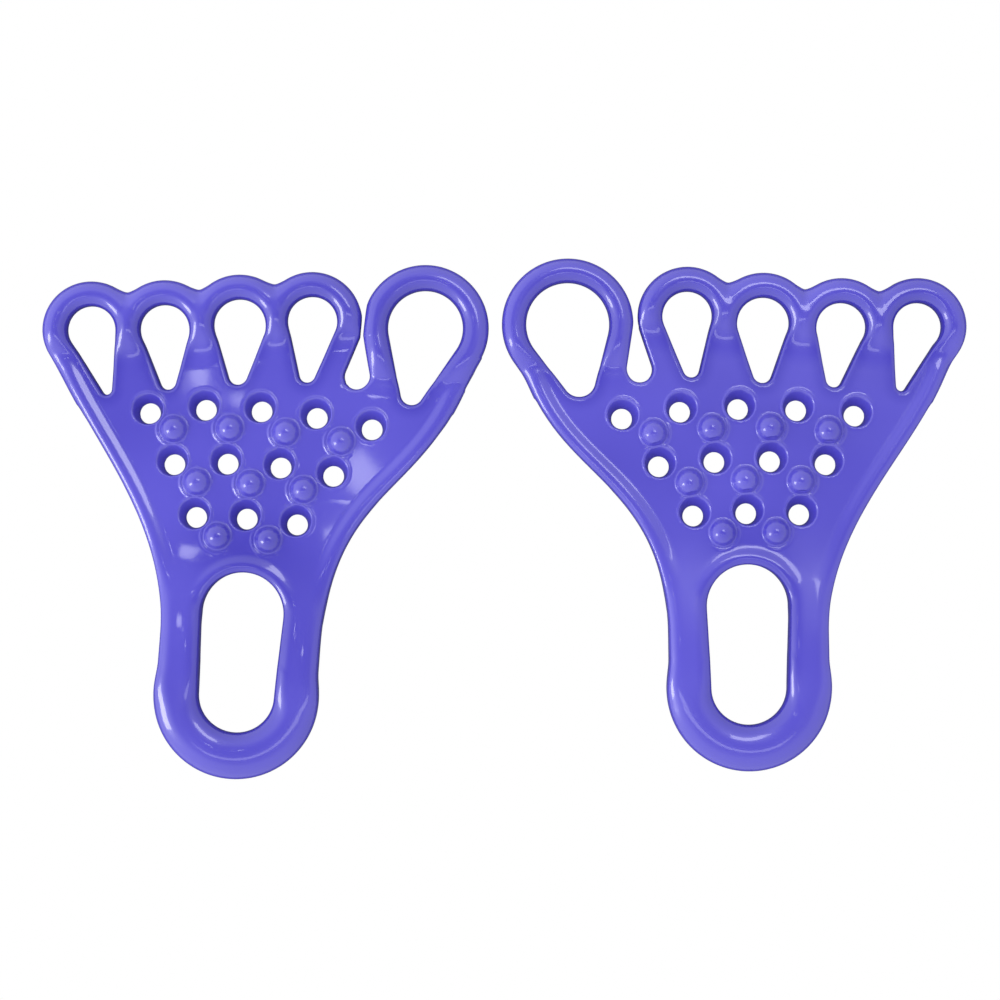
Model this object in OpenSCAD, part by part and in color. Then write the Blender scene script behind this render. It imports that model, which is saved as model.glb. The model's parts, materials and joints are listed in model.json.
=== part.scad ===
// Pair of finger exercisers: two mirrored elastomer mouldings lying flat, nubs up.
// Each one is a palm pad with five loops along the top and a pull handle below.
// Each moulding is split into named zones at the places where the elastomer flexes.
// Design frame of one exerciser: origin at the centre of its handle opening,
// +Y towards the fingers, +X towards the thumb loop, Z = 0 on the table.

/* [Layout] */
// Centre of the left exerciser's handle opening on the table (x, y)
left_at = [-83.9, -42.3]; // [-120:0.1:120]
// Centre of the right exerciser's handle opening on the table (x, y)
right_at = [77.3, -39.8]; // [-120:0.1:120]
// Turn of the left and the right exerciser about the vertical, degrees
turn = [-4.2, 0.7]; // [-8:0.1:8]

/* [Thickness] */
// Thickness of the loops, the ribs and the edge bead
loop_t = 8; // [7:0.1:10]
// Thickness of the perforated web
web_t = 5; // [3.5:0.1:6]
// Thickness of the handle
handle_t = 9; // [8:0.1:11]
// Width of the edge bead on the pad's flanks
bead_w = 7; // [5:0.1:8]

/* [Finger loops] */
// Rounded tops of the left one's finger openings, x: little, ring, middle, index
left_top_x = [-54.2, -31.1, -7.5, 15.3]; // [-60:0.1:20]
// Rounded tops of the left one's finger openings, y
left_top_y = [98.3, 100.2, 103.3, 106.2]; // [95:0.1:108]
// Lean of the left one's finger openings towards the thumb, degrees
left_lean = [-17.9, -7, -1.1, 1.9]; // [-20:0.1:6]
// Rounded tops of the right one's finger openings, x
right_top_x = [-54.7, -30.6, -5.9, 18.1]; // [-60:0.1:20]
// Rounded tops of the right one's finger openings, y
right_top_y = [99.9, 100, 101.6, 104.2]; // [95:0.1:108]
// Lean of the right one's finger openings towards the thumb, degrees
right_lean = [-15.3, -7.9, -0.8, 4.2]; // [-20:0.1:6]
// Radius of each opening's rounded top
top_r = [7.6, 7.8, 8.2, 7.8]; // [6.5:0.1:8.6]
// Radius of each opening's narrow root
root_r = [1.7, 2.6, 3.1, 2.6]; // [1.5:0.1:4]
// Distance between the top and root centres of each opening
taper = [19.1, 16.3, 15.6, 16.7]; // [14:0.1:20]
// Width of the cord round a loop's top
cord_w = 8; // [7:0.1:8.2]
// Width of the cord beside a loop's root
root_cord_w = 9.5; // [9:0.1:11]

/* [Thumb loop] */
// Rounded top of the thumb opening, x: left exerciser, right exerciser
thumb_top_x = [51.2, 56]; // [51:0.1:57]
// Rounded top of the thumb opening, y
thumb_top_y = [106.7, 102.1]; // [100:0.1:107]
// Radius of the thumb opening's rounded top
thumb_top_r = [11.8, 13.1]; // [11:0.1:13.8]
// Narrow root of the thumb opening, x
thumb_root_x = [48.3, 52.5]; // [48:0.1:53]
// Narrow root of the thumb opening, y
thumb_root_y = [85.8, 84.4]; // [84:0.1:86]
// Radius of the thumb opening's narrow root
thumb_root_r = [3.6, 5.2]; // [3.5:0.1:6]
// Width of the cord round the thumb loop's top
thumb_cord_w = [8.3, 7.8]; // [6.5:0.1:8.3]
// Outer radius of the thumb loop beside its root
thumb_outer_root_r = 14.2; // [13:0.1:15]
// Middle of the slit between the index and thumb loops, at its lower end
slit_x = [30.6, 33.3]; // [30:0.1:34]
// Middle of the slit where the two loops come closest
slit_top_x = [31.2, 34.5]; // [31:0.1:35]
// Height at which the two loops come closest
slit_top_y = 103; // [102:0.1:106]
// Lowest point of the slit
slit_y = [86, 83.7]; // [83:0.1:87]
// Radius of the slit's round bottom
slit_r = 4; // [3:0.1:4.2]
// Free space between the index and thumb loops
slit_gap = 0.8; // [0.6:0.1:1.2]

/* [Pad] */
// Half width of the waist, where the pad runs into the handle
waist = 25.4; // [24:0.1:26]
// Holes in the row nearest the fingers; each row below has one less
first_row_holes = 5; // [5:1:5]
// Number of hole rows
hole_rows = 3; // [1:1:3]
// Radius of a vent hole
hole_r = 3.3; // [3:0.1:3.8]
// Radius of a hole's sloped lip at the top face
lip_r = 4.7; // [4.2:0.1:4.9]
// Middle hole of the first row, x: left exerciser, right exerciser
first_row_x = [1.1, 2.1]; // [0:0.1:3]
// Middle hole of the first row, y
first_row_y = [76.6, 74.6]; // [74:0.1:77]
// Distance between two rows of holes
row_pitch = [17.2, 16.6]; // [16.5:0.1:17.3]
// Sideways step from one row to the next
row_step = 1.1; // [0.8:0.1:1.4]
// Hole pitch in the first row
hole_pitch = [17.7, 18.5]; // [17:0.1:18.6]
// How much the hole pitch shrinks from one row to the next
pitch_step = 0.8; // [0.5:0.1:0.9]
// Radius of the arc that each row lies on
fan_r = [200, 265]; // [180:5:400]
// How far a nub row sits below its hole row
nub_drop = 5.8; // [5.6:0.1:6]
// Radius of a massage nub at its foot
nub_r = 4.2; // [3.8:0.1:4.3]
// Height of a massage nub above the web
nub_h = 3.6; // [3:0.1:4]

/* [Handle] */
// Upper round end of the handle opening: distance up from the centre, radius
grip_top = [12.4, 13]; // [11:0.1:14]
// Lower round end of the handle opening: distance down from the centre, radius
grip_low = [13.4, 11.9]; // [11:0.1:14]
// Outer round end of the handle: distance down from the centre, radius
grip_end = [14, 26.2]; // [14:0.1:27]
// Height of the waist hinge line above the handle opening's centre
waist_hinge_y = 14; // [13:0.1:15]
// Height of the cut where the grip stretches away, below the centre
stretch_y = 4; // [2:0.1:6]

/* [Flex lines] */
// Slope of the knuckle line, degrees: left exerciser, right exerciser
knuckle_slope = [8.4, 5.2]; // [4:0.1:9]
// Height of the finger openings' roots on the handle's axis
root_line_y = [86.9, 86]; // [85:0.1:88]
// Distance from the openings' roots up to the knuckle line
knuckle_up = 5.4; // [5:0.1:6]
// Height of the middle of the thumb loop's flex line
thumb_hinge_y = [91.8, 89.8]; // [89:0.1:92]
// Free space between a rounded end and the stub it turns beside
flex_gap = 0.3; // [0.2:0.05:0.5]
// Space between two neighbouring zones that move together
split_gap = 0.2; // [0.1:0.05:0.3]

/* [Hidden] */
$fn = 64;
LEFT = 0;
RIGHT = 1;
LITTLE = 0;
RING = 1;
MIDDLE = 2;
INDEX = 3;
THUMB = 4;
// Beyond every edge of one exerciser
far = 150;
// Flats along a flank, and the turn of one flat of a rounded outline, degrees
curve_steps = 12;
arc_step = 12;
// Height at which both flanks reach their loops
shoulder_y = 87.1;
waist_y = 3.3;
little_shoulder_x = [-64.2, -63.9];
little_slope_x = [-51.6, -55.9];
thumb_shoulder_x = [64.3, 69.5];
thumb_slope_x = [51.8, 59.6];
// Sideways shift of the outer outline's root on the two outermost loops
outer_root_shift = [2, 0, 0, 0, -0.6];
// Sideways depth of the bead where a flank slopes
flank_bead_w = 1.2 * bead_w;
// Edges of the thin field: above the handle opening and below the loops
field_low_y = 30.5;
field_below_roots = 3;
field_below_thumb = 12.5;
// Place along the thumb's flex line where its height is given
thumb_mid_x = 50;
web_to_cord = 1.2;
gel = [0.36, 0.33, 0.82];
at = [left_at, right_at];
top_x = [left_top_x, right_top_x];
top_y = [left_top_y, right_top_y];
lean = [left_lean, right_lean];

function finger_top(s, i) = [top_x[s][i], top_y[s][i]];
function finger_root(s, i) = finger_top(s, i) - taper[i] * [sin(lean[s][i]), cos(lean[s][i])];
function opening_top(s, i) = i == THUMB ? [thumb_top_x[s], thumb_top_y[s]] : finger_top(s, i);
function opening_root(s, i) = i == THUMB ? [thumb_root_x[s], thumb_root_y[s]] : finger_root(s, i);
function opening_top_r(s, i) = i == THUMB ? thumb_top_r[s] : top_r[i];
function opening_root_r(s, i) = i == THUMB ? thumb_root_r[s] : root_r[i];
function outer_top_r(s, i) = opening_top_r(s, i) + (i == THUMB ? thumb_cord_w[s] : cord_w);
function thumb_line_y(s, x) = thumb_hinge_y[s] + (x - thumb_mid_x) * tan(knuckle_slope[s]);
function knuckle_y(s, x) = root_line_y[s] + knuckle_up + x * tan(knuckle_slope[s]);
function little_flank(s) = [
    [little_shoulder_x[s], shoulder_y], [little_slope_x[s], 62.2], [-waist, 39.1], [-waist, waist_y]
];
function thumb_flank(s) = [
    [thumb_shoulder_x[s], shoulder_y], [thumb_slope_x[s], 52.6], [waist, 52.5], [waist, waist_y]
];
function bezier(p) = [
    for (k = [0 : curve_steps])
        let (t = k / curve_steps, u = 1 - t)
        u * u * u * p[0] + 3 * u * u * t * p[1] + 3 * u * t * t * p[2] + t * t * t * p[3]
];
function arc(centre, r, from, to) =
    let (n = ceil(abs(to - from) / arc_step))
    [for (k = [0 : n]) let (a = from + (to - from) * k / n) centre + r * [cos(a), sin(a)]];
// Outline of two circles joined by their outer tangents
function teardrop(a, ra, b, rb) =
    let (
        u = (b - a) / norm(b - a),
        heading = atan2(u[1], u[0]),
        spread = acos((ra - rb) / norm(b - a))
    )
    concat(
        arc(a, ra, heading + spread, heading + 360 - spread),
        arc(b, rb, heading - spread, heading + spread)
    );
function reversed(points) = [for (k = [len(points) - 1 : -1 : 0]) points[k]];
function moved(points, slope_shift, waist_shift) = [
    points[0] + [slope_shift, 0],
    points[1] + [slope_shift, 0],
    points[2] + [waist_shift, 0],
    points[3] + [waist_shift, 0]
];
// Middle of the rib or slit between loop i and the next one, at the openings' tops and roots
function rib_top(s, i) = i == INDEX ? [slit_top_x[s], slit_top_y] : [
    (top_x[s][i] + top_r[i] + top_x[s][i + 1] - top_r[i + 1]) / 2,
    (top_y[s][i] + top_y[s][i + 1]) / 2
];
function rib_root(s, i) = i == INDEX ? [slit_x[s], slit_y[s] + slit_r] : [
    (finger_root(s, i)[0] + root_r[i] + finger_root(s, i + 1)[0] - root_r[i + 1]) / 2,
    (finger_root(s, i)[1] + finger_root(s, i + 1)[1]) / 2
];
function along(a, b, y) = a + (b - a) * (y - a[1]) / (b[1] - a[1]);
// Sideways limits of loop i at height y
function low_x(s, i, y) = i == LITTLE ? -far : along(rib_root(s, i - 1), rib_top(s, i - 1), y)[0];
function high_x(s, i, y) = i == THUMB ? far : along(rib_root(s, i), rib_top(s, i), y)[0];

module place(s) {
    translate([at[s][0], at[s][1], 0])
        rotate([0, 0, turn[s]])
            if (s == RIGHT) mirror([1, 0, 0]) children();
            else children();
}

module opening(s, i) {
    polygon(teardrop(opening_top(s, i), opening_top_r(s, i), opening_root(s, i), opening_root_r(s, i)));
}

module loop_outer(s, i) {
    polygon(teardrop(
        opening_top(s, i), outer_top_r(s, i),
        opening_root(s, i) + [outer_root_shift[i], 0],
        i == THUMB ? thumb_outer_root_r : root_r[i] + root_cord_w
    ));
}

// Fills the corner between the thumb loop's outer side and the flank below it
module thumb_shoulder(s) {
    centre = opening_top(s, THUMB);
    r = outer_top_r(s, THUMB);
    to_flank = thumb_flank(s)[0] - centre;
    touch = atan2(to_flank[1], to_flank[0]) + acos(min(1, r / norm(to_flank)));
    polygon([
        thumb_flank(s)[0],
        centre + r * [cos(touch), sin(touch)],
        centre,
        opening_root(s, THUMB)
    ]);
}

module slit(s) {
    polygon(teardrop(rib_top(s, INDEX), slit_gap / 2, rib_root(s, INDEX), slit_r));
}

module handle_opening() {
    polygon(teardrop([0, grip_top[0]], grip_top[1], [0, -grip_low[0]], grip_low[1]));
}

// Region between the two flanks
module between_flanks(s, slope_inset, waist_inset) {
    polygon(concat(
        bezier(moved(little_flank(s), slope_inset, waist_inset)),
        reversed(bezier(moved(thumb_flank(s), -slope_inset, -waist_inset)))
    ));
}

// The whole moulding seen from above
module plan(s) {
    difference() {
        union() {
            between_flanks(s, 0, 0);
            translate([-waist, -grip_end[0]]) square([2 * waist, grip_end[0] + waist_y]);
            polygon(arc([0, -grip_end[0]], grip_end[1], 0, 360 - arc_step));
            for (i = [LITTLE : THUMB]) loop_outer(s, i);
            thumb_shoulder(s);
        }
        for (i = [LITTLE : THUMB]) opening(s, i);
        slit(s);
        handle_opening();
    }
}

// Everything below the knuckle line and the thumb's flex line, down to y_low
module below_loops(s, under_knuckle, under_thumb, y_low) {
    polygon([
        [-far, y_low],
        [-far, knuckle_y(s, -far) - under_knuckle],
        [slit_x[s] - slit_gap, knuckle_y(s, slit_x[s]) - under_knuckle],
        [slit_x[s] - slit_gap, thumb_line_y(s, slit_x[s]) - under_thumb],
        [far, thumb_line_y(s, far) - under_thumb],
        [far, y_low]
    ]);
}

// A flat slab of thickness t whose near end is rounded about the flex axis at the origin
module rounded_slab(t, reach) {
    rotate([90, 0, 0])
        linear_extrude(2 * far, center = true) {
            translate([0, t / 2]) circle(r = t / 2);
            square([reach, t]);
        }
}

module loop(s, i) {
    low_gap = (i == THUMB ? slit_gap : split_gap) / 2;
    high_gap = (i == INDEX ? slit_gap : split_gap) / 2;
    low = 70;
    high = 130;
    hinge_y = i == THUMB ? thumb_line_y(s, 0) : knuckle_y(s, 0);
    intersection() {
        linear_extrude(loop_t)
            intersection() {
                plan(s);
                polygon([
                    [low_x(s, i, low) + low_gap, low],
                    [high_x(s, i, low) - high_gap, low],
                    [high_x(s, i, high) - high_gap, high],
                    [low_x(s, i, high) + low_gap, high]
                ]);
            }
        translate([0, hinge_y, 0]) rotate([0, 0, 90 + knuckle_slope[s]]) rounded_slab(loop_t, 60);
    }
}

// Centre of hole or nub j in a row, counted from the little finger's side
function row_point(s, row, j, count, shift, drop) =
    let (x = (j - (count - 1) / 2) * (hole_pitch[s] - row * pitch_step))
    [
        first_row_x[s] - row * row_step + shift + x,
        first_row_y[s] - row * row_pitch[s] - drop - x * x / (2 * fan_r[s])
    ];

module vent_hole() {
    translate([0, 0, -1]) cylinder(r = hole_r, h = web_t + 2);
    translate([0, 0, web_t - web_to_cord]) cylinder(r1 = hole_r, r2 = lip_r, h = web_to_cord);
}

module vent_holes(s) {
    for (row = [0 : hole_rows - 1])
        for (j = [0 : first_row_holes - row - 1])
            translate(row_point(s, row, j, first_row_holes - row, 0, 0)) vent_hole();
}

module palm_pad(s) {
    stub = loop_t / 2 + flex_gap;
    difference() {
        linear_extrude(loop_t)
            intersection() {
                plan(s);
                below_loops(s, stub, stub, waist_hinge_y + handle_t / 2 + flex_gap);
            }
        translate([0, 0, web_t])
            linear_extrude(loop_t)
                intersection() {
                    between_flanks(s, flank_bead_w, bead_w);
                    below_loops(s, knuckle_up + field_below_roots, field_below_thumb, field_low_y);
                }
        vent_holes(s);
    }
}

// A dome standing on the web
module nub() {
    ball_r = (nub_r * nub_r + nub_h * nub_h) / (2 * nub_h);
    intersection() {
        translate([0, 0, nub_h - ball_r]) sphere(r = ball_r);
        cylinder(r = 2 * nub_r, h = 2 * nub_h);
    }
}

module massage_nubs(s) {
    for (row = [0 : hole_rows - 1])
        for (j = [0 : first_row_holes - row - 2])
            translate(concat(row_point(s, row, j, first_row_holes - row - 1, -0.5, nub_drop), web_t)) nub();
}

// A side cord of the handle, from the waist hinge down to the stretch cut
module handle_cord(s, side) {
    intersection() {
        linear_extrude(handle_t)
            intersection() {
                plan(s);
                translate([side > 0 ? 0 : -far, -stretch_y]) square([far, far]);
            }
        translate([0, waist_hinge_y, 0]) rotate([0, 0, -90]) rounded_slab(handle_t, 60);
    }
}

module handle_grip(s) {
    linear_extrude(handle_t)
        intersection() {
            plan(s);
            translate([-far, -far - stretch_y - split_gap]) square([2 * far, far]);
        }
}

module left_palm_pad() color(gel) place(LEFT) palm_pad(LEFT);
module left_massage_nubs() color(gel) place(LEFT) massage_nubs(LEFT);
module left_little_loop() color(gel) place(LEFT) loop(LEFT, LITTLE);
module left_ring_loop() color(gel) place(LEFT) loop(LEFT, RING);
module left_middle_loop() color(gel) place(LEFT) loop(LEFT, MIDDLE);
module left_index_loop() color(gel) place(LEFT) loop(LEFT, INDEX);
module left_thumb_loop() color(gel) place(LEFT) loop(LEFT, THUMB);
module left_handle_outer_cord() color(gel) place(LEFT) handle_cord(LEFT, -1);
module left_handle_inner_cord() color(gel) place(LEFT) handle_cord(LEFT, 1);
module left_handle_grip() color(gel) place(LEFT) handle_grip(LEFT);
module right_palm_pad() color(gel) place(RIGHT) palm_pad(RIGHT);
module right_massage_nubs() color(gel) place(RIGHT) massage_nubs(RIGHT);
module right_little_loop() color(gel) place(RIGHT) loop(RIGHT, LITTLE);
module right_ring_loop() color(gel) place(RIGHT) loop(RIGHT, RING);
module right_middle_loop() color(gel) place(RIGHT) loop(RIGHT, MIDDLE);
module right_index_loop() color(gel) place(RIGHT) loop(RIGHT, INDEX);
module right_thumb_loop() color(gel) place(RIGHT) loop(RIGHT, THUMB);
module right_handle_outer_cord() color(gel) place(RIGHT) handle_cord(RIGHT, -1);
module right_handle_inner_cord() color(gel) place(RIGHT) handle_cord(RIGHT, 1);
module right_handle_grip() color(gel) place(RIGHT) handle_grip(RIGHT);

left_palm_pad();
left_massage_nubs();
left_little_loop();
left_ring_loop();
left_middle_loop();
left_index_loop();
left_thumb_loop();
left_handle_outer_cord();
left_handle_inner_cord();
left_handle_grip();
right_palm_pad();
right_massage_nubs();
right_little_loop();
right_ring_loop();
right_middle_loop();
right_index_loop();
right_thumb_loop();
right_handle_outer_cord();
right_handle_inner_cord();
right_handle_grip();
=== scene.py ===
"""Pair of elastomer finger exercisers, lying nubs up.

Lengths inside Shape are millimetres in one exerciser's own frame: origin at the centre of the handle
opening, +Y towards the fingers, +X towards the thumb, Z = 0 on the table.
"""

import json
import math

import bmesh
import bpy
import numpy as np
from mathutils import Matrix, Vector

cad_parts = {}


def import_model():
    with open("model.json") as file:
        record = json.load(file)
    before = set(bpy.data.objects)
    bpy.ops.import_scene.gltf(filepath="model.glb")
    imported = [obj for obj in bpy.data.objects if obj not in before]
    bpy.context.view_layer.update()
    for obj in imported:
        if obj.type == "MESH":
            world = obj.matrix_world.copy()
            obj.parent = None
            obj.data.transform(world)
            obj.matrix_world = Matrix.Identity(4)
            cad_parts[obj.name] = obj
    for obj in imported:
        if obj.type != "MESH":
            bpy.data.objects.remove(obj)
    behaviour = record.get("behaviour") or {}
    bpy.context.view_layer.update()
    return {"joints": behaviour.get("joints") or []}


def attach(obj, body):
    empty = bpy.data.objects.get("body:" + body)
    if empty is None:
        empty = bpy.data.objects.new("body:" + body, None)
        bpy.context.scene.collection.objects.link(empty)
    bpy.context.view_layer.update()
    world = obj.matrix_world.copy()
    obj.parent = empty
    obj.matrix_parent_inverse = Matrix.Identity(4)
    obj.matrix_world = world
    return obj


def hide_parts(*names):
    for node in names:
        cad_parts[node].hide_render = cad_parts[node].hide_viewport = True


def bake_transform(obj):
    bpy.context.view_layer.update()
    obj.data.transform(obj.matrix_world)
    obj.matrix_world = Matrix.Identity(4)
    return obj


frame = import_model()

MM = 0.001
# Grid for one exerciser's surface: its step, its range along each axis, the corners of a cell, and how
# its vertices then settle onto the surface.
GRID_STEP = 0.45
GRID = ((-74, 79), (-43, 129), (-1.2, 10.4))
CORNERS = [(i, j, k) for i in (0, 1) for j in (0, 1) for k in (0, 1)]
SETTLE_PASSES, SETTLE_REACH, LEAST_SLOPE = 3, 0.3, 0.05

# Finger openings, from little to index: teardrops from a large disc down to a small one at the root.
FINGERS = ("little", "ring", "middle", "index")
TOP_R = (7.6, 7.8, 8.2, 7.8)
ROOT_R = (1.7, 2.6, 3.1, 2.6)
TAPER = (19.1, 16.3, 15.6, 16.7)
# Width of the cord round them at the top and at the root, and how far its root lies beside the opening's.
CORD, ROOT_CORD = 8.0, 9.5
ROOT_SHIFT = (2, 0, 0, 0)
THUMB_ROOT_OUT, THUMB_ROOT_SHIFT = 14.2, 0.6

# The two mouldings lie slightly differently deformed, so each has its own plan. Points are (x, y).
#   tops, leans: centres of the finger openings' large discs, and the openings' leans in degrees
#   thumb_top, thumb_root: the thumb opening's two discs, as (x, y, radius); thumb_cord: width round it
#   slit, slit_gap: upper end and centre of the round lower end of the slit beside the thumb, and its width
#   little_flank, thumb_flank: the upper two control points of each outer edge
#   first_row, row_pitch, hole_pitch, fan_r: middle of the upper row of holes, spacings, radius of its arc
#   knuckle, slope: the knuckle line at x = 0 and its slope in degrees; thumb_hinge: the thumb's flex line
#   seam_drop: how far the cut between palm and finger loops lies below the knuckle line
SIDES = {
    "left": dict(
        tops=((-54.2, 98.3), (-31.1, 100.2), (-7.5, 103.3), (15.3, 106.2)),
        leans=(-17.9, -7.0, -1.1, 1.9),
        thumb_top=(51.2, 106.7, 11.8),
        thumb_root=(48.3, 85.8, 3.6),
        thumb_cord=8.3,
        slit=((31.2, 103.0), (30.6, 90.0)),
        slit_gap=0.7,
        little_flank=((-64.2, 87.1), (-51.6, 62.2)),
        thumb_flank=((64.3, 87.1), (51.8, 52.6)),
        first_row=(1.1, 76.6),
        row_pitch=17.2,
        hole_pitch=17.7,
        fan_r=200,
        knuckle=92.3,
        slope=8.4,
        thumb_hinge=91.8,
        seam_drop=7.9,
    ),
    "right": dict(
        tops=((-54.7, 99.9), (-30.6, 100.0), (-5.9, 101.6), (18.1, 104.2)),
        leans=(-15.3, -7.9, -0.8, 4.2),
        thumb_top=(56.0, 102.1, 13.1),
        thumb_root=(52.5, 84.4, 5.2),
        thumb_cord=7.8,
        slit=((34.5, 103.0), (33.3, 87.7)),
        slit_gap=0.8,
        little_flank=((-63.9, 87.1), (-55.9, 62.2)),
        thumb_flank=((69.5, 87.1), (59.6, 52.6)),
        first_row=(2.1, 74.6),
        row_pitch=16.6,
        hole_pitch=18.5,
        fan_r=265,
        knuckle=91.4,
        slope=5.2,
        thumb_hinge=89.8,
        seam_drop=8.6,
    ),
}
SLIT_R = 4.0

# Outer edges: half width and lower end of the waist, and the Y of each edge's third control point.
WAIST, WAIST_Y = 25.4, 3.3
LITTLE_BOW_Y, THUMB_BOW_Y = 39.1, 52.5
# An edge runs on straight past its upper end, and a shoulder fills the corner between it and the loop.
FLANK_TAIL, SLOPES_AVERAGED = 12, 7
SHOULDER_UP, SHOULDER_DOWN = 10, 5
# Handle: upper and lower disc of its opening and the disc at its outer end, as (y, radius).
GRIP_TOP, GRIP_LOW, GRIP_END = (12.4, 13.0), (-13.4, 11.9), (-14.0, 26.2)

# Rows of holes and nubs, 5, 4, 3 and 4, 3, 2: each is set a little closer and nearer the little finger.
HOLE_ROW, NUB_ROW, ROWS = 5, 4, 3
PITCH_STEP, ROW_SHIFT = 0.8, 1.1
NUB_SHIFT, NUB_DROP = -0.5, 5.8
HOLE_R, DISH_R, DISH_X, DISH_Y = 3.3, 4.9, -0.3, 1.3
DISH_FLOOR, DISH_TOP, DISH_FLARE = 1.2, 1.4, 1.3
NUB_R, NUB_H, NUB_FOOT = 4.3, 3.3, 2.0
# Lips: height, place outside the dish or nub, width, and how unevenly one runs round its hole.
LIP_H, LIP_OUT, LIP_W = 0.3, 0.2, 0.55
LIP_EVEN, LIP_LEAN, LIP_LEAST = 0.5, 0.7, -0.3
NUB_LIP_OUT, NUB_LIP_W = 0.9, 0.45

# Heights of the loops, pad, handle and of all cords at their roots, and of the flank bead and opening rim.
LOOP_T, WEB_T, HANDLE_T, ROOT_T = 8.0, 5.0, 9.0, 3.6
WEB_THIN, WEB_LOW, WEB_EDGE_R = 2.5, 5, 1.5
BEAD_T, BEAD_THIN_TOP, BEAD_THIN_LOW, BEAD_HALF = 5.5, 3, 1.5, 2.6
RIM_T, RIM_THIN, RIM_HALF = 6.2, 3.0, 2.4
BEAD_LOW, BEAD_TOP, RIM_LOW, HANDLE_TOP = 9, 94, 4, 50
# Exponents of the sections: 2 is an ellipse, and the added part makes it boxier.
LOOP_ROUND, LOOP_BOXY = 2.0, 1.6
HANDLE_ROUND, HANDLE_BOXY = 2.1, 1.1

# Zones along Y over which something changes, as (start, length).
LOOP_RISE, THUMB_RISE = (-2, 18), (-5, 19)
FINGER_FADE, THUMB_FADE = 8, 2
WEB_FADE, WEB_HIDE, PAD_HIDE = (0, 7), (-1, 8), (14, 8)
INSET_ZONE, BEAD_HIDE, RIM_HIDE = (20, 12), (17, 8), (12, 8)
BEAD_TOP_ZONE, BEAD_LOW_ZONE, RIM_ZONE = (86, 12), (26, 22), (22, 18)
HANDLE_RISE, HANDLE_BOX_ZONE = (56, 66), (-20, 12)
THUMB_PART = (79, 5)
# How deep one part draws back into another where it ends.
HIDE_DEPTH, CORD_HIDE, PAD_INSET = 3.0, 2.0, 0.7
# A cord's half width beyond its outline before the trim, its least half width, and where its loop ends.
CORD_GROW, CORD_LEAST, CORD_MARGIN = 0.3, 0.4, 1.0

# Radii with which surfaces flow into each other.
SOFT, CRISP, LOOP_BLEND = 2.0, 1.0, 5.0
LOOP_SEAM, THUMB_SEAM, THUMB_SEAM_APART = 0.5, 2.5, 0.02
SKIN_BLEND, BEAD_BLEND, NUB_BLEND, HOLE_EDGE = 1.6, 1.8, 0.7, 0.6
TRIM, TRIM_EDGE, BASE, BASE_EDGE = 0.08, 0.8, 0.1, 0.4

# Painted shade, a darker colour on the openings' inner walls: its reach from an opening, its depth from
# the outline, and a darker patch above the handle.
PAINTED_SHADE_REACH, PAINTED_SHADE_DEPTH = 5.5, 3
PAINTED_SHADE_PATCH_X, PAINTED_SHADE_PATCH_Y, PAINTED_SHADE_PATCH_AT_Y = 17, 11, 32

# Y of the handle's bend joint in an exerciser's own frame.
HANDLE_HINGE_Y = 14
# Cuts between pieces: their Y at the handle, and the ends of the thumb's cut below the slit's lower end.
WAIST_CUT, GRIP_CUT = 21.5, 6.0
THUMB_CUT_DROP, THUMB_CUT_END_DROP, CUT_RUN = 3.7, 11.7, 10

# Colours are linear RGBA. CLOUDS and WAVES are the scale and detail of a noise.
# The third colour is painted shade, a darker tint multiplied into the base colour on the openings' inner
# walls and above the handle.
BLUE_DARK, BLUE_PALE, PAINTED_SHADE_TINT = (0.064, 0.052, 0.46, 1), (0.086, 0.072, 0.53, 1), (0.62, 0.58, 0.85, 1)
CLOUDS, CLOUD_LOW, CLOUD_HIGH = (22, 2), 0.32, 0.68
WAVES, WAVE_STRENGTH, WAVE_HEIGHT = (38, 1), 0.4, 0.0006
GLOSS = {"Roughness": 0.28, "IOR": 1.5, "Coat Weight": 0.7, "Coat Roughness": 0.05}

# Softboxes: name, azimuth from +X, angle from the zenith, distance, width, height, power.
SOFTBOXES = (
    ("left_softbox", 200, 52, 1.2, 0.3, 0.4, 3.8),
    ("right_softbox", 60, 21, 1.3, 0.5, 0.22, 2.2),
    ("front_softbox", 270, 15, 1.25, 0.7, 0.1, 0.7),
)
# Windows: centre, width, depth and turn in degrees of the patch in which each is mirrored.
WINDOWS = ((-97.3, 47.2, 9.5, 12.5, 12), (-84.0, 37.7, 4.5, 5.5, 25), (-45.8, 14.5, 10.5, 12.0, 38))
WINDOW_REACH, WINDOW_GLOW = 2, 9
# Sky: its strength to the left and to the right, and its colours from the horizon to overhead.
SKY_LEFT, SKY_RIGHT = 1.8, 1.05
SKY_STOPS = ((0.0, (1, 1, 1, 1)), (0.85, (0.75, 0.75, 0.77, 1)), (0.96, (0.1, 0.1, 0.11, 1)))
FLOOR_SIZE, FLOOR_Z, FLOOR_GREY, FLOOR_ROUGHNESS = 6, -0.0002, (0.1, 0.1, 0.12, 1), 0.9
CAMERA_AT = (-0.0014, 0.006, 0.604)
SENSOR, VIEW_DISTANCE, VIEW_WIDTH = 36, 0.6, 0.317


def smin(a, b, k):
    """The smaller of a and b, rounded over k where they meet."""
    h = np.clip(0.5 + 0.5 * (b - a) / k, 0, 1)
    return b + (a - b) * h - k * h * (1 - h)


def smax(a, b, k):
    return -smin(-a, -b, k)


def ramp(t):
    t = np.clip(t, 0, 1)
    return t * t * (3 - 2 * t)


def above(y, zone):
    """0 below the zone's start and 1 from its length further up."""
    start, length = zone
    return ramp((y - start) / length)


def below(y, zone):
    """0 above the zone's start and 1 from its length further down."""
    start, length = zone
    return ramp((start - y) / length)


def ring(r, middle, width):
    """1 on a circle of that radius, falling off over the width on both sides."""
    return np.exp(-(((r - middle) / width) ** 2))


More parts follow.
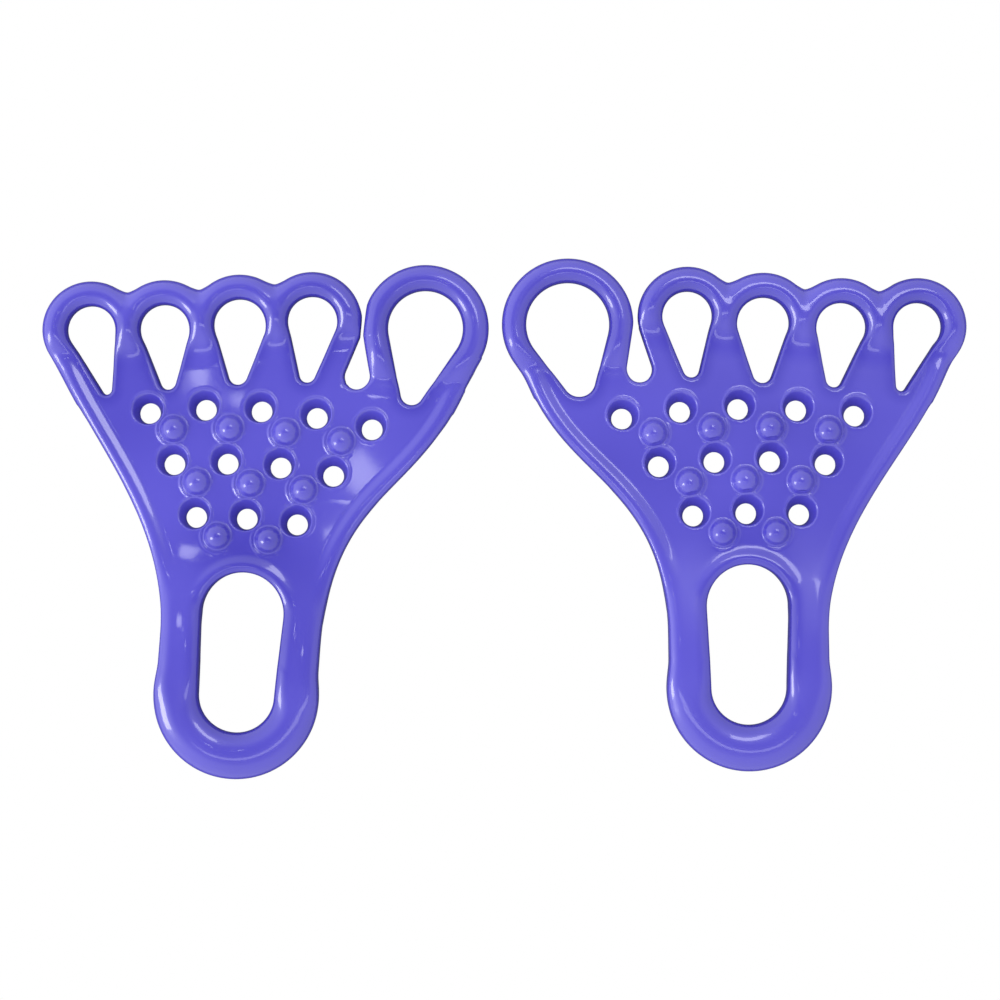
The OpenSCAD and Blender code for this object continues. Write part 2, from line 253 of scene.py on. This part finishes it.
def teardrop(x, y, a, ra, b, rb):
    """Signed distance to two discs joined by their outer tangents."""
    dx, dy = b[0] - a[0], b[1] - a[1]
    length = math.hypot(dx, dy)
    ux, uy = dx / length, dy / length
    along = (x - a[0]) * ux + (y - a[1]) * uy
    across = np.abs((x - a[0]) * uy - (y - a[1]) * ux)
    s = (ra - rb) / length
    c = math.sqrt(1 - s * s)
    k = along * c - across * s
    side = across * c + along * s - ra
    far_disc = np.hypot(along - length, across) - rb
    return np.where(k < 0, np.hypot(along, across) - ra, np.where(k > c * length, far_disc, side))


def bezier(p, n=60):
    t = np.linspace(0, 1, n)[:, None]
    p = np.array(p, float)
    weights = ((1 - t) ** 3, 3 * (1 - t) ** 2 * t, 3 * (1 - t) * t**2, t**3)
    return weights[0] * p[0] + weights[1] * p[1] + weights[2] * p[2] + weights[3] * p[3]


def cord(opening, outline):
    """Offset from the middle of the cord between an opening and an outline, and its half width."""
    return (opening + outline) / 2, (opening - outline) / 2 + CORD_GROW


def section(u, a, z, height, n=2.0):
    """Signed distance, roughly, to a cord of half width a and that height, lying on z = 0."""
    a, b = np.maximum(a, CORD_LEAST), height / 2
    q = (np.abs(u / a) ** n + np.abs((z - b) / b) ** n) ** (1 / n)
    return (q - 1) * np.minimum(a, b)


def slab(d, z, height, r):
    """Signed distance to a plate with rounded edges, whose plan has the signed distance d."""
    qx, qz = d + r, np.abs(z - height / 2) - height / 2 + r
    return np.hypot(np.maximum(qx, 0), np.maximum(qz, 0)) + np.minimum(np.maximum(qx, qz), 0) - r


def nearest(x, y, centres):
    """Offsets from the nearest of the centres, and the distance to it."""
    best = [np.full_like(x, 99.0) for _ in range(3)]
    for cx, cy in centres:
        r = np.hypot(x - cx, y - cy)
        near = r < best[2]
        best = [np.where(near, new, old) for new, old in zip((x - cx, y - cy, r), best)]
    return best


class Shape:
    """One exerciser's surface, as a function that is below zero inside the elastomer."""

    def __init__(self, side):
        self.size = size = SIDES[side]
        self.slope = math.tan(math.radians(size["slope"]))
        self.roots = [
            (tx - t * math.sin(math.radians(lean)), ty - t * math.cos(math.radians(lean)))
            for (tx, ty), t, lean in zip(size["tops"], TAPER, size["leans"])
        ]
        little = (*size["little_flank"], (-WAIST, LITTLE_BOW_Y), (-WAIST, WAIST_Y))
        thumb = (*size["thumb_flank"], (WAIST, THUMB_BOW_Y), (WAIST, WAIST_Y))
        self.flanks = [self.flank(-1, little), self.flank(1, thumb)]
        self.holes = self.rows(HOLE_ROW, 0, 0)
        self.nubs = self.rows(NUB_ROW, NUB_SHIFT, NUB_DROP)

    def flank(self, sign, control):
        """An outer edge from the handle up to its loop: its side, and its Y, X and slope along the way."""
        p = bezier(control)
        top = self.touch(control[0]) if sign > 0 else p[0]
        if top[1] < p[0][1] + 1:
            top = p[0] + (p[0] - p[1]) / np.linalg.norm(p[0] - p[1]) * FLANK_TAIL
        p = np.vstack([[top], p, [[p[-1][0], GRIP_END[0]]]])[::-1]
        slope = np.gradient(p[:, 0], p[:, 1])
        slope = np.pad(slope, SLOPES_AVERAGED // 2, mode="edge")
        slope = np.convolve(slope, np.ones(SLOPES_AVERAGED) / SLOPES_AVERAGED, "valid")
        return sign, p[:, 1], p[:, 0], slope

    def touch(self, flank_end):
        """Where a line from the flank's end touches the thumb loop's outer side."""
        (cx, cy, r), w = self.size["thumb_top"], self.size["thumb_cord"]
        vx, vy = flank_end[0] - cx, flank_end[1] - cy
        a = math.atan2(vy, vx) + math.acos(min(1, (r + w) / math.hypot(vx, vy)))
        return [cx + (r + w) * math.cos(a), cy + (r + w) * math.sin(a)]

    def rows(self, longest, shift, drop):
        """Centres in fanned rows, each row one shorter than the row above it."""
        size = self.size
        hx, hy = size["first_row"]
        centres = []
        for row in range(ROWS):
            count = longest - row
            for j in range(count):
                x = (j - (count - 1) / 2) * (size["hole_pitch"] - PITCH_STEP * row)
                y = hy - size["row_pitch"] * row - drop - x * x / (2 * size["fan_r"])
                centres.append((hx - ROW_SHIFT * row + shift + x, y))
        return centres

    def edges(self, x, y):
        """Distance outside the little finger's and the thumb's outer edge."""
        out = []
        for sign, ys, xs, slopes in self.flanks:
            m = np.interp(y, ys, slopes)
            out.append(sign * (x - np.interp(y, ys, xs)) / np.sqrt(1 + m * m))
        return out

    def slit(self, x, y):
        """Keyhole-shaped slit between index and thumb loop, open at the top."""
        (top_x, top_y), low = self.size["slit"]
        gap = self.size["slit_gap"] / 2
        keyhole = teardrop(x, y, (top_x, top_y), gap, low, SLIT_R)
        lean = (top_x - low[0]) / (top_y - low[1])
        beyond = np.abs(x - top_x - lean * (y - top_y)) - gap
        return np.where(y > top_y, beyond, keyhole)

    def fingers(self, x, y, edge, slit):
        """The four finger openings, the outline round them all, and the cord round each."""
        openings, outers = [], []
        plan = zip(self.size["tops"], self.roots, TOP_R, ROOT_R, ROOT_SHIFT)
        for top, root, top_r, root_r, shift in plan:
            openings.append(teardrop(x, y, top, top_r, root, root_r))
            beside = (root[0] + shift, root[1])
            outers.append(teardrop(x, y, top, top_r + CORD, beside, root_r + ROOT_CORD))
        outline = outers[0]
        for outer in outers[1:]:
            outline = smin(outline, outer, LOOP_BLEND)
        root_x, root_y = self.roots[0]
        shoulder = np.maximum(edge, y - root_y - SHOULDER_UP)
        shoulder = np.maximum(shoulder, np.maximum(x - root_x, root_y - SHOULDER_DOWN - y))
        outline = smin(outline, shoulder, SOFT)
        outers[0] = smin(outers[0], shoulder, SOFT)
        cords = []
        for i, (opening, outer) in enumerate(zip(openings, outers)):
            limit = outline
            for neighbour in openings[max(i - 1, 0) : i] + openings[i + 1 : i + 2]:
                limit = smax(limit, -neighbour, CRISP)
            if i == len(openings) - 1:
                limit = smax(limit, -slit, CRISP)
            cords.append(cord(opening, smax(limit, outer - CORD_MARGIN, SOFT)))
        return openings, outline, cords

    def thumb(self, x, y, edge):
        """The thumb opening and the outline round it."""
        (tx, ty, top_r), (rx, ry, root_r) = self.size["thumb_top"], self.size["thumb_root"]
        opening = teardrop(x, y, (tx, ty), top_r, (rx, ry), root_r)
        outer_r = top_r + self.size["thumb_cord"]
        outline = teardrop(x, y, (tx, ty), outer_r, (rx - THUMB_ROOT_SHIFT, ry), THUMB_ROOT_OUT)
        flank_top = self.flanks[1][1][-1]
        shoulder = np.maximum(edge, y - flank_top)
        shoulder = np.maximum(shoulder, np.maximum(tx - x, ry - SHOULDER_DOWN - y))
        return opening, smin(outline, shoulder, CRISP)

    def handle(self, x, y, edges):
        """The handle opening and the outline of handle and pad."""
        opening = teardrop(x, y, (0, GRIP_TOP[0]), GRIP_TOP[1], (0, GRIP_LOW[0]), GRIP_LOW[1])
        end_y, end_r = GRIP_END
        end = np.hypot(x, y - end_y) - end_r
        sides = np.maximum(edges[0], edges[1])
        return opening, smin(end, np.maximum(sides, end_y - y), CRISP)

    def fields(self, x, y):
        """Everything that depends on the plan only."""
        size = self.size
        edges = self.edges(x, y)
        slit = self.slit(x, y)
        openings, outline, loops = self.fingers(x, y, edges[0], slit)
        thumb_open, thumb_out = self.thumb(x, y, edges[1])
        hand, outer = self.handle(x, y, edges)
        f = {"y": y, "edge": edges, "hand": hand, "loops": loops}
        f["thumb"] = cord(thumb_open, smax(thumb_out, -slit, CRISP))
        f["handle"] = cord(hand, outer)

        knuckle_y = size["knuckle"] + self.slope * x
        root_y = size["thumb_root"][1]
        fade_y = np.where(x < size["slit"][1][0], knuckle_y + FINGER_FADE, root_y + THUMB_FADE)
        web = smax(outer, y - fade_y - WEB_FADE[1], WEB_EDGE_R)
        whole = np.maximum(outer, y - size["little_flank"][0][1])
        for around in (outline, thumb_out):
            whole = smin(whole, around, SOFT)
        for hole in openings + [thumb_open, slit, hand]:
            web = np.maximum(web, -hole)
            whole = np.maximum(whole, -hole)
        inset = PAD_INSET * below(y, INSET_ZONE)
        hidden = whole + HIDE_DEPTH * (above(y - fade_y, WEB_HIDE) + below(y, PAD_HIDE))
        f["plan"] = np.maximum(np.maximum(web + inset, hidden), WEB_LOW - y)
        f["whole"] = whole
        f["bead_in"] = inset + CORD_HIDE * below(y, BEAD_HIDE)
        f["rim_in"] = inset + CORD_HIDE * below(y, RIM_HIDE)

        self.add_heights(f, y - knuckle_y, y - root_y, y - fade_y)
        self.add_marks(f, x, y)
        # Painted shade: a mask that darkens the colour on the openings' inner walls, away from the outer
        # edge, and in a patch above the handle.
        inner = np.minimum.reduce(openings + [thumb_open, hand])
        margin = -np.minimum(outline, np.minimum(thumb_out, outer))
        deep = (1 - ramp(inner / PAINTED_SHADE_REACH)) * ramp(margin / PAINTED_SHADE_DEPTH)
        f["deep"] = np.maximum(deep, np.exp(-((x / PAINTED_SHADE_PATCH_X) ** 2) - ((y - PAINTED_SHADE_PATCH_AT_Y) / PAINTED_SHADE_PATCH_Y) ** 2))
        return f

    def add_heights(self, f, over_knuckle, over_root, over_fade):
        """Heights of all cords and of the pad, and the exponents of their sections."""
        y = f["y"]
        loop_rise = above(over_knuckle, LOOP_RISE)
        thumb_rise = above(over_root, THUMB_RISE)
        f["loop_h"] = ROOT_T + (LOOP_T - ROOT_T) * loop_rise
        f["loop_n"] = LOOP_ROUND + LOOP_BOXY * (1 - loop_rise)
        f["thumb_h"] = ROOT_T + (LOOP_T - ROOT_T) * thumb_rise
        f["thumb_n"] = LOOP_ROUND + LOOP_BOXY * (1 - thumb_rise)
        f["handle_h"] = ROOT_T + (HANDLE_T - ROOT_T) * below(y, HANDLE_RISE)
        f["handle_n"] = HANDLE_ROUND + HANDLE_BOXY * above(y, HANDLE_BOX_ZONE)
        f["web_h"] = WEB_T - WEB_THIN * above(over_fade, WEB_FADE)
        low = BEAD_THIN_LOW * below(y, BEAD_LOW_ZONE)
        f["bead_h"] = BEAD_T - BEAD_THIN_TOP * above(y, BEAD_TOP_ZONE) - low
        f["rim_h"] = RIM_T - RIM_THIN * below(y, RIM_ZONE)

    def add_marks(self, f, x, y):
        """Holes and nubs, with a low lip round part of each."""
        f["hole_x"], f["hole_y"], hole_r = nearest(x, y, self.holes)
        nub_x, nub_y, f["nub_r"] = nearest(x, y, self.nubs)
        dish_r = np.hypot(f["hole_x"] - DISH_X, f["hole_y"] - DISH_Y)
        facing = np.clip((f["hole_x"] + f["hole_y"]) / np.maximum(hole_r, 1), LIP_LEAST, 1)
        lip = LIP_H * (LIP_EVEN + LIP_LEAN * facing) * ring(dish_r - DISH_R, LIP_OUT, LIP_W)
        facing = np.clip(-(nub_x + nub_y) / np.maximum(f["nub_r"], 1), 0, 1)
        lip += LIP_H * facing * ring(f["nub_r"] - NUB_R, NUB_LIP_OUT, NUB_LIP_W)
        f["web_h"] += lip

    def solid(self, f, z):
        """Signed distance, roughly, at height z over the plan points of these fields."""
        web = slab(f["plan"], z, f["web_h"], WEB_EDGE_R)
        body = smin(web, self.loops(f, z), SKIN_BLEND)
        body = self.add_beads(f, z, body)
        handle = section(*f["handle"], z, f["handle_h"], f["handle_n"])
        handle = smax(handle, f["y"] - HANDLE_TOP, SOFT)
        body = smin(body, handle, SKIN_BLEND)
        ball = (NUB_R**2 + NUB_H**2) / (2 * NUB_H)
        nub = np.hypot(f["nub_r"], z - (WEB_T + NUB_H - ball)) - ball
        body = smin(body, np.maximum(nub, NUB_FOOT - z), NUB_BLEND)
        t = np.clip((z - DISH_FLOOR) / (WEB_T - DISH_FLOOR), 0, DISH_TOP)
        funnel = np.hypot(f["hole_x"] - DISH_X * t, f["hole_y"] - DISH_Y * t)
        body = smax(body, HOLE_R + (DISH_R - HOLE_R) * t**DISH_FLARE - funnel, HOLE_EDGE)
        return smax(smax(body, f["whole"] - TRIM, TRIM_EDGE), BASE - z, BASE_EDGE)

    def loops(self, f, z):
        """The finger loops and the thumb loop, which stay apart above the slit's lower end."""
        cords = [section(u, a, z, f["loop_h"], f["loop_n"]) for u, a in f["loops"]]
        loops = cords[0]
        for one in cords[1:]:
            loops = smin(loops, one, LOOP_SEAM)
        thumb = section(*f["thumb"], z, f["thumb_h"], f["thumb_n"])
        return smin(loops, thumb, THUMB_SEAM_APART + THUMB_SEAM * (1 - above(f["y"], THUMB_PART)))

    def add_beads(self, f, z, body):
        """Raised beads along both flanks and a raised rim round the handle opening."""
        y = f["y"]
        for edge in f["edge"]:
            bead = section(-edge - BEAD_HALF - f["bead_in"], BEAD_HALF, z, f["bead_h"])
            bead = smax(smax(bead, y - BEAD_TOP, CRISP), BEAD_LOW - y, CRISP)
            body = smin(body, bead, BEAD_BLEND)
        rim = section(f["hand"] - RIM_HALF - f["rim_in"], RIM_HALF, z, f["rim_h"])
        rim = smax(rim, RIM_LOW - y, CRISP)
        return smin(body, rim, BEAD_BLEND)

    def value(self, p):
        return self.solid(self.fields(p[:, 0], p[:, 1]), p[:, 2])

    def gradient(self, p, e=0.04):
        g = np.empty_like(p)
        for axis in range(3):
            d = np.zeros(3)
            d[axis] = e
            g[:, axis] = (self.value(p + d) - self.value(p - d)) / (2 * e)
        return g


def corner(a, c):
    """The grid's values at one corner of every cell, c being 0 or 1 along each axis."""
    return a[tuple(slice(k, size - 1 + k) for k, size in zip(c, a.shape))]


def cell_points(v, active):
    """One point in each active cell, in cells: the middle of the places where its edges cross zero."""
    cells = np.argwhere(active)
    total, hits = np.zeros((len(cells), 3)), np.zeros(len(cells))
    for c in CORNERS:
        for axis in range(3):
            if c[axis]:
                continue
            d = list(c)
            d[axis] = 1
            a, b = corner(v, c)[active], corner(v, d)[active]
            cross = (a < 0) != (b < 0)
            t = np.where(cross, a / np.where(cross, a - b, 1), 0)
            point = np.array(c, float) + np.zeros((len(cells), 3))
            point[:, axis] += t
            total += point * cross[:, None]
            hits += cross
    return cells + total / hits[:, None]


def cell_quads(inside, active):
    """A quad round every grid edge that crosses the surface, through the points of its four cells."""
    index = np.full(active.shape, -1)
    index[active] = np.arange(np.count_nonzero(active))
    quads = []
    for axis in range(3):
        low, high = [slice(None)] * 3, [slice(None)] * 3
        low[axis], high[axis] = slice(0, -1), slice(1, None)
        a, b = inside[tuple(low)], inside[tuple(high)]
        edges = np.argwhere(a != b)
        first = a[a != b]
        side_1, side_2 = [k for k in range(3) if k != axis]
        around = []
        for back_1, back_2 in ((0, 0), (1, 0), (1, 1), (0, 1)):
            c = edges.copy()
            c[:, side_1] -= back_1
            c[:, side_2] -= back_2
            around.append(index[c[:, 0], c[:, 1], c[:, 2]])
        quad = np.stack(around, axis=1)
        turn = ~first if axis != 1 else first
        quad[turn] = quad[turn][:, ::-1]
        quads.append(quad)
    return np.vstack(quads)


def surface(shape, step):
    """Quad mesh of the zero surface: one vertex per crossed cell, moved onto the surface."""
    xs, ys, zs = (np.arange(low, high, step) for low, high in GRID)
    gx, gy = np.meshgrid(xs, ys, indexing="ij")
    f = shape.fields(gx.ravel(), gy.ravel())
    v = np.stack([shape.solid(f, np.full(gx.size, z)).reshape(gx.shape) for z in zs], axis=-1)
    inside = v < 0
    count = sum(corner(inside, c).astype(np.int8) for c in CORNERS)
    active = (count > 0) & (count < len(CORNERS))
    p = cell_points(v, active) * step + np.array([xs[0], ys[0], zs[0]])
    for _ in range(SETTLE_PASSES):
        g = shape.gradient(p)
        move = (shape.value(p) / np.maximum((g * g).sum(1), LEAST_SLOPE))[:, None] * g
        size = np.linalg.norm(move, axis=1, keepdims=True)
        p -= move * np.minimum(1, SETTLE_REACH * step / np.maximum(size, 1e-9))
    return p, cell_quads(inside, active)


def to_world(p, place):
    """Points of an exerciser's own frame in the row frame, both in mm."""
    origin, ex, ey = place
    return origin + np.outer(p[:, 0], ex) + np.outer(p[:, 1], ey) + np.outer(p[:, 2], [0, 0, 1])


def place_of(side):
    """Origin and axes of one exerciser in the row frame, in mm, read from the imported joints."""
    joint = {j["name"]: j for j in frame["joints"]}
    ey = -np.array(joint[f"{side}_grip_stretch"]["axis"], float)
    ey /= np.linalg.norm(ey)
    ex = np.array([ey[1], -ey[0], 0]) * (1 if side == "left" else -1)
    origin = np.array(joint[f"{side}_handle_bend"]["pos_m"], float) / MM - HANDLE_HINGE_Y * ey
    origin[2] = 0
    return origin, ex, ey


def line(a, b):
    """Cut plane through two plan points; the kept side is on the left going from a to b."""
    n = Vector((-(b[1] - a[1]), b[0] - a[0], 0)).normalized()
    return Vector((a[0], a[1], 0)), n


def rib(shape, i):
    """Middle of the rib between finger loops i and i + 1: a low and a high plan point."""
    (ax, ay), (bx, by) = shape.size["tops"][i : i + 2]
    high = ((ax + TOP_R[i] + bx - TOP_R[i + 1]) / 2, (ay + by) / 2)
    (ax, ay), (bx, by) = shape.roots[i : i + 2]
    return ((ax + ROOT_R[i] + bx - ROOT_R[i + 1]) / 2, (ay + by) / 2), high


def level(y, slope=0.0):
    """A seam across the exerciser, through that Y at x = 0."""
    return (0, y), (CUT_RUN, y + CUT_RUN * slope)


def flip(seam):
    return (seam[1], seam[0])


def piece_cuts(shape):
    """Cut lines, keeping the material on the left of each, for the pieces of one exerciser."""
    size = shape.size
    (sx, sy), (lx, ly) = size["slit"]
    fingers = level(size["knuckle"] - size["seam_drop"], shape.slope)
    thumb = ((lx, ly - THUMB_CUT_DROP), (lx + CUT_RUN, ly - THUMB_CUT_END_DROP))
    slit = ((lx, ly), (sx, sy))
    waist, grip = level(WAIST_CUT), level(GRIP_CUT)
    cuts = {
        "palm": [flip(fingers), flip(thumb), waist],
        "thumb_loop": [thumb, flip(slit)],
        "handle_sides": [flip(waist), grip],
        "handle_grip": [flip(grip)],
    }
    beside = [rib(shape, i) for i in range(len(FINGERS) - 1)] + [slit]
    for i, name in enumerate(FINGERS):
        inner = [flip(beside[i - 1])] if i > 0 else []
        cuts[name + "_loop"] = [fingers, *inner, beside[i]]
    return cuts


def cut(bm, cuts, cap):
    """Cut the mesh along each line, close it, and mark the new faces in the cap layer."""
    for seam in cuts:
        co, no = line(*seam)
        geom = bm.verts[:] + bm.edges[:] + bm.faces[:]
        out = bmesh.ops.bisect_plane(
            bm, geom=geom, dist=1e-5, plane_co=co, plane_no=no, clear_inner=True
        )
        rim = [e for e in out["geom_cut"] if isinstance(e, bmesh.types.BMEdge) and e.is_boundary]
        made = bmesh.ops.edgeloop_fill(bm, edges=rim)["faces"] if rim else []
        for face in made:
            face[cap] = 1
            face.normal_update()
            if face.normal.dot(no) > 0:
                face.normal_flip()


def set_normals(mesh, smooth, caps):
    """Shade with the given normals, one for each vertex, and the caps flat."""
    start = np.zeros(len(mesh.polygons), int)
    size = np.zeros(len(mesh.polygons), int)
    mesh.polygons.foreach_get("loop_start", start)
    mesh.polygons.foreach_get("loop_total", size)
    vert = np.zeros(len(mesh.loops), int)
    mesh.loops.foreach_get("vertex_index", vert)
    normals = smooth[vert]
    for i in np.flatnonzero(np.array(caps)):
        normals[start[i] : start[i] + size[i]] = mesh.polygons[int(i)].normal
    mesh.normals_split_custom_set(normals.tolist())


def build_piece(name, shape, p, quads, cuts, place, mirrored):
    """One closed piece of the skin, with exact normals, so that neighbours shade as one surface."""
    mesh = bpy.data.meshes.new(name)
    mesh.from_pydata(p.tolist(), [], quads.tolist())
    bm = bmesh.new()
    bm.from_mesh(mesh)
    cap = bm.faces.layers.int.new("cap")
    cut(bm, cuts, cap)
    bm.verts.index_update()
    local = np.array([v.co for v in bm.verts], float)
    g = shape.gradient(local)
    g /= np.maximum(np.linalg.norm(g, axis=1, keepdims=True), 1e-9)
    for v, c in zip(bm.verts, to_world(local, place) * MM):
        v.co = c
    if mirrored:
        bmesh.ops.reverse_faces(bm, faces=bm.faces[:])
    bm.normal_update()
    caps = [f[cap] for f in bm.faces]
    bm.to_mesh(mesh)
    bm.free()
    mesh.shade_smooth()
    # Stores the painted-shade mask on the vertices, for the material to darken the colour with.
    painted_shade_layer = mesh.attributes.new("deep", "FLOAT", "POINT")
    painted_shade_layer.data.foreach_set("value", shape.fields(local[:, 0], local[:, 1])["deep"].astype(np.float32))
    set_normals(mesh, to_world(g, (0, *place[1:])), caps)
    obj = bpy.data.objects.new(name, mesh)
    bpy.context.scene.collection.objects.link(obj)
    return obj


def join_bodies(obj, side, name, place):
    """Attach the palm piece to its body, bake the others in place, and hide the CAD nodes that the piece
    stands for.
    """
    palm = f"{side}_palm"

    def world(x, y):
        return tuple(to_world(np.array([[x, y, 0.0]]), place)[0] * MM)

    def bend():
        """Bake the piece's placement into its mesh."""
        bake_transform(obj)

    def follow():
        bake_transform(obj)

    if name == "palm":
        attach(obj, palm)
        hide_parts(f"{side}_palm_pad", f"{side}_massage_nubs")
    elif name == "thumb_loop":
        bend()
        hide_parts(f"{side}_thumb_loop")
    elif name == "handle_sides":
        follow()
        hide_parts(f"{side}_handle_outer_cord", f"{side}_handle_inner_cord")
    elif name == "handle_grip":
        follow()
        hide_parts(f"{side}_handle_grip")
    else:
        bend()
        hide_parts(f"{side}_{name}")


def build_pair(mat):
    """Both exercisers: each one surface, cut into the pieces that move."""
    for side in ("left", "right"):
        shape = Shape(side)
        p, quads = surface(shape, GRID_STEP)
        place = place_of(side)
        for name, cuts in piece_cuts(shape).items():
            skin = f"{side}_{name}_skin"
            obj = build_piece(skin, shape, p, quads, cuts, place, side == "right")
            obj.data.materials.append(mat)
            join_bodies(obj, side, name, place)


def noise(tree, coords, scale, detail):
    """Noise texture fixed to the scene's position, so that it runs on from piece to piece."""
    node = tree.nodes.new("ShaderNodeTexNoise")
    node.inputs["Scale"].default_value = scale
    node.inputs["Detail"].default_value = detail
    tree.links.new(coords.outputs["Position"], node.inputs["Vector"])
    return node


def elastomer():
    """Glossy blue-violet gel with faint colour clouds, painted shade on the openings' inner walls, and a
    slightly wavy moulded skin.
    """
    mat = bpy.data.materials.new("elastomer")
    mat.use_nodes = True
    nodes, links = mat.node_tree.nodes, mat.node_tree.links
    bsdf = nodes["Principled BSDF"]
    coords = nodes.new("ShaderNodeNewGeometry")
    tint = nodes.new("ShaderNodeValToRGB")
    low, high = tint.color_ramp.elements
    low.position, low.color = CLOUD_LOW, BLUE_DARK
    high.position, high.color = CLOUD_HIGH, BLUE_PALE
    links.new(noise(mat.node_tree, coords, *CLOUDS).outputs["Fac"], tint.inputs["Fac"])
    # Painted shade: the stored mask multiplies the colour by a darker tint on the openings' inner walls
    # and above the handle.
    deep = nodes.new("ShaderNodeAttribute")
    deep.attribute_name = "deep"
    shade = nodes.new("ShaderNodeMix")
    shade.data_type = "RGBA"
    shade.blend_type = "MULTIPLY"
    links.new(deep.outputs["Fac"], shade.inputs["Factor"])
    links.new(tint.outputs["Color"], shade.inputs["A"])
    shade.inputs["B"].default_value = PAINTED_SHADE_TINT
    links.new(shade.outputs["Result"], bsdf.inputs["Base Color"])
    bump = nodes.new("ShaderNodeBump")
    bump.inputs["Strength"].default_value = WAVE_STRENGTH
    bump.inputs["Distance"].default_value = WAVE_HEIGHT
    links.new(noise(mat.node_tree, coords, *WAVES).outputs["Fac"], bump.inputs["Height"])
    links.new(bump.outputs["Normal"], bsdf.inputs["Normal"])
    for name, value in GLOSS.items():
        bsdf.inputs[name].default_value = value
    return mat


def area_light(name, width, height, power):
    data = bpy.data.lights.new(name, "AREA")
    data.shape = "RECTANGLE"
    data.size, data.size_y, data.energy = width, height, power
    obj = bpy.data.objects.new(name, data)
    bpy.context.scene.collection.objects.link(obj)
    return obj


def softbox(name, azimuth, zenith, distance, width, height, power):
    """Large lamp aimed at the centre of the pair."""
    obj = area_light(name, width, height, power)
    a, z = math.radians(azimuth), math.radians(zenith)
    direction = Vector((math.cos(a) * math.sin(z), math.sin(a) * math.sin(z), math.cos(z)))
    obj.location = distance * direction
    obj.rotation_euler = (-obj.location).to_track_quat("-Z", "Y").to_euler()
    return obj


def window(x, y, width, depth, turn):
    """Small lamp overhead that a flat, level face at that place mirrors to the camera."""
    grow = 1 + WINDOW_REACH
    size, size_y = grow * width * MM, grow * depth * MM
    obj = area_light("window", size, size_y, WINDOW_GLOW * math.pi * size * size_y)
    eye = Vector(CAMERA_AT)
    spot = Vector((x * MM, y * MM, WEB_T * MM))
    beyond_x = grow * spot.x - WINDOW_REACH * eye.x
    beyond_y = grow * spot.y - WINDOW_REACH * eye.y
    obj.location = (beyond_x, beyond_y, spot.z + WINDOW_REACH * (eye.z - spot.z))
    obj.rotation_euler = (0, 0, math.radians(turn))


def build_sky():
    """Soft studio dome: dark overhead, bright low down, brighter on the left."""
    world = bpy.data.worlds.new("studio")
    world.use_nodes = True
    nodes, links = world.node_tree.nodes, world.node_tree.links
    coords = nodes.new("ShaderNodeTexCoord")
    split = nodes.new("ShaderNodeSeparateXYZ")
    links.new(coords.outputs["Generated"], split.inputs[0])
    height = nodes.new("ShaderNodeValToRGB")
    stops = height.color_ramp.elements
    horizon, middle, overhead = SKY_STOPS
    stops[0].position, stops[0].color = horizon
    stops[1].position, stops[1].color = overhead
    stops.new(middle[0]).color = middle[1]
    links.new(split.outputs["Z"], height.inputs["Fac"])
    lean = nodes.new("ShaderNodeMapRange")
    lean.inputs["From Min"].default_value, lean.inputs["From Max"].default_value = -1, 1
    lean.inputs["To Min"].default_value, lean.inputs["To Max"].default_value = SKY_LEFT, SKY_RIGHT
    links.new(split.outputs["X"], lean.inputs["Value"])
    links.new(height.outputs["Color"], nodes["Background"].inputs["Color"])
    links.new(lean.outputs["Result"], nodes["Background"].inputs["Strength"])
    bpy.context.scene.world = world


def pale_floor():
    """Shines white to the camera; to the lamps and the pair it is a dull dark sheet."""
    mat = bpy.data.materials.new("pale_floor")
    mat.use_nodes = True
    nodes, links = mat.node_tree.nodes, mat.node_tree.links
    bsdf = nodes["Principled BSDF"]
    bsdf.inputs["Base Color"].default_value = FLOOR_GREY
    bsdf.inputs["Roughness"].default_value = FLOOR_ROUGHNESS
    glow = nodes.new("ShaderNodeEmission")
    glow.inputs["Color"].default_value = (1, 1, 1, 1)
    path = nodes.new("ShaderNodeLightPath")
    mix = nodes.new("ShaderNodeMixShader")
    links.new(path.outputs["Is Camera Ray"], mix.inputs["Fac"])
    links.new(bsdf.outputs["BSDF"], mix.inputs[1])
    links.new(glow.outputs["Emission"], mix.inputs[2])
    links.new(mix.outputs["Shader"], nodes["Material Output"].inputs["Surface"])
    return mat


def build_stage():
    bpy.ops.mesh.primitive_plane_add(size=FLOOR_SIZE, location=(0, 0, FLOOR_Z))
    floor = bpy.context.object
    floor.name = "floor"
    floor.data.materials.append(pale_floor())
    build_sky()
    for patch in WINDOWS:
        window(*patch)
    for lamp in SOFTBOXES:
        softbox(*lamp)


def build_camera():
    """Looks straight down on the pair."""
    data = bpy.data.cameras.new("camera")
    data.sensor_width, data.lens = SENSOR, SENSOR * VIEW_DISTANCE / VIEW_WIDTH
    cam = bpy.data.objects.new("camera", data)
    cam.location = CAMERA_AT
    bpy.context.scene.collection.objects.link(cam)
    bpy.context.scene.camera = cam
    bpy.context.scene.view_settings.view_transform = "Standard"


build_pair(elastomer())
build_stage()
build_camera()
